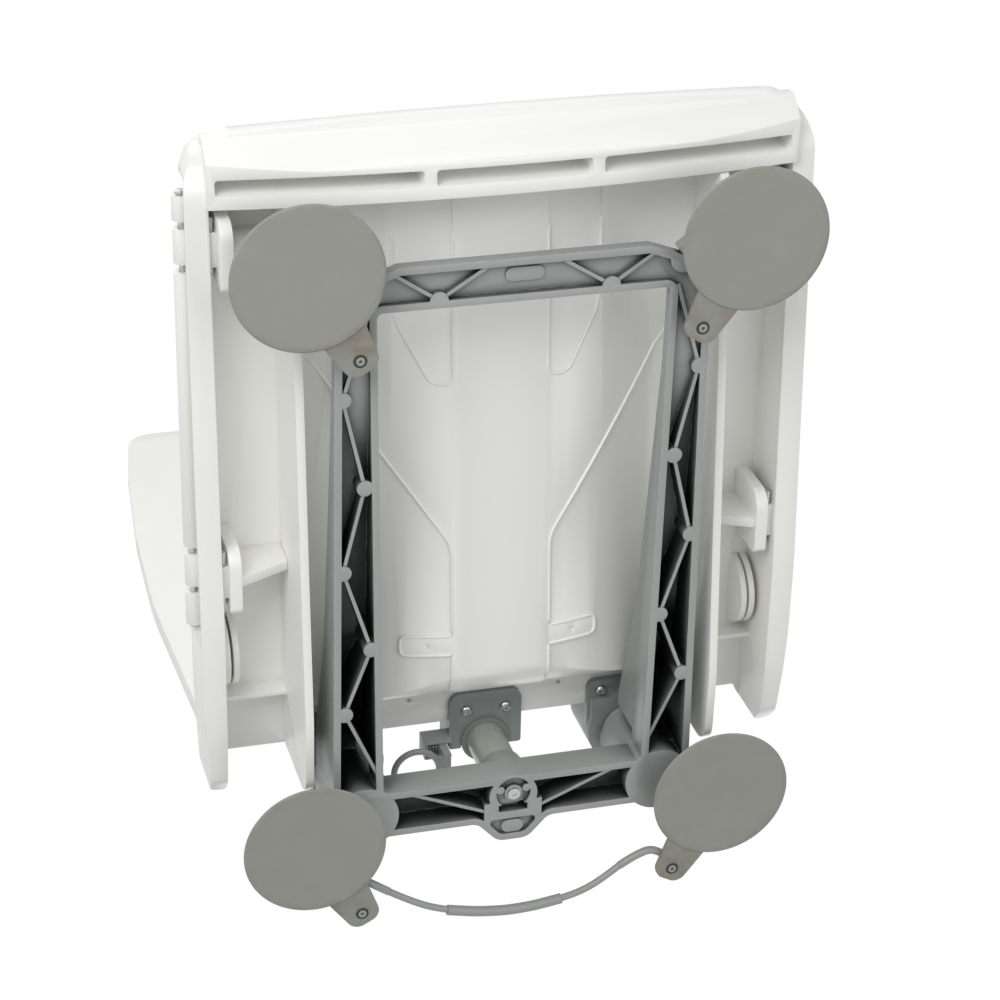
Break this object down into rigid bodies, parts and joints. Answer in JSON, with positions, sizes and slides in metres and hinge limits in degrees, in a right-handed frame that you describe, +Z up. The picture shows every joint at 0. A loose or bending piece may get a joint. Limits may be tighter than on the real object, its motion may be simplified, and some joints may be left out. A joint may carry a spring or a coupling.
{
  "type": "bath lift",
  "caption": "Bath lift with suction cups, ribbed cast base, telescopic columns, moulded seat with folding side flaps and a backrest; the seat rises on a lifting screw.",
  "frame": {"origin": "on the bath floor, midway between the four suction cups", "axes": "+Z up, +Y from the seat front to the backrest, +X to the right when seen from the seat front towards the backrest"},
  "size_m": [0.4344, 0.5801, 0.59],
  "materials": {
    "cup_rubber": "matt moulded rubber",
    "frame_metal": "satin grey powder coat on a die casting",
    "bracket_metal": "satin grey powder coat",
    "tube_metal": "satin anodised tube",
    "steel": "bright turned steel",
    "white_plastic": "fine satin moulded plastic",
    "grey_plastic": "satin moulded plastic",
    "bronze": "machined bronze",
    "latch_plastic": "satin moulded plastic",
    "cell_wrap": "shrink wrap",
    "board_green": "solder mask",
    "cord_cover": "satin vinyl cover"
  },
  "bodies": {
    "base": {"base_frame": "frame_metal", "cup_front_left": "cup_rubber", "cup_front_right": "cup_rubber", "cup_rear_left": "cup_rubber", "cup_rear_right": "cup_rubber", "cup_studs": "steel", "tab_pins": "steel", "frame_plug": "frame_metal", "foot_screw": "steel", "piston_tube": "tube_metal", "piston_plug": "grey_plastic", "drive_nut": "bronze", "guide_post_left": "tube_metal", "guide_post_right": "tube_metal", "post_cap_left": "grey_plastic", "post_cap_right": "grey_plastic", "release_cord": "cord_cover", "cord_grip": "cord_cover", "cord_ends": "cord_cover"},
    "carriage": {"seat": "white_plastic", "post_bracket_left": "bracket_metal", "post_bracket_right": "bracket_metal", "centre_bracket": "bracket_metal", "bracket_screws": "steel", "guide_sleeve_left": "tube_metal", "guide_sleeve_right": "tube_metal", "sleeve_bush_left": "grey_plastic", "sleeve_bush_right": "grey_plastic", "drive_tube": "tube_metal", "drive_collar": "grey_plastic", "screw_bearings": "steel", "top_yoke": "frame_metal", "yoke_cap": "frame_metal", "cap_screws": "steel", "drive_housing": "white_plastic", "housing_front": "white_plastic", "housing_screws": "steel", "motor": "steel", "battery_pack": "cell_wrap", "control_board": "board_green", "control_socket": "grey_plastic", "backrest": "white_plastic", "back_straps": "white_plastic", "strap_screws": "steel", "hinge_rod_left": "steel", "hinge_rod_right": "steel", "hinge_clips_left": "white_plastic", "hinge_clips_right": "white_plastic", "clip_pins": "steel", "release_housing": "latch_plastic", "release_spring": "steel"},
    "screw": {"lead_screw": "steel", "gear_wheel": "grey_plastic"},
    "pinion": {"motor_pinion": "grey_plastic"},
    "flap_l": {"flap_left": "white_plastic"},
    "flap_r": {"flap_right": "white_plastic"},
    "latch": {"release_slider": "latch_plastic"}
  },
  "joints": [
    {"name": "lift", "type": "slide", "parent": "base", "child": "carriage", "axis": [0, 0, 1], "range_m": [0, 0.37]},
    {"name": "screw_spin", "type": "hinge", "parent": "carriage", "child": "screw", "pos_m": [0, 0.205, 0.3], "axis": [0, 0, 1], "range_deg": [-5, 11105]},
    {"name": "pinion_spin", "type": "hinge", "parent": "carriage", "child": "pinion", "pos_m": [0.0345, 0.205, 0.56], "axis": [0, 0, 1], "range_deg": [-12114, 5]},
    {"name": "flap_left_hinge", "type": "hinge", "parent": "carriage", "child": "flap_l", "pos_m": [-0.211, -0.09, 0.0885], "axis": [0, -1, 0], "range_deg": [0, 110]},
    {"name": "flap_right_hinge", "type": "hinge", "parent": "carriage", "child": "flap_r", "pos_m": [0.211, -0.09, 0.0885], "axis": [0, 1, 0], "range_deg": [0, 110]},
    {"name": "latch_pull", "type": "slide", "parent": "carriage", "child": "latch", "axis": [-1, 0, 0], "range_m": [0, 0.004], "stiffness_N_per_m": 900, "springref_m": -0.003, "deforming": ["release_spring"]}
  ],
  "couplings": [
    {"joint": "screw_spin", "follows": "lift", "rad_per_m": 523.6},
    {"joint": "pinion_spin", "follows": "lift", "rad_per_m": -571.2}
  ]
}
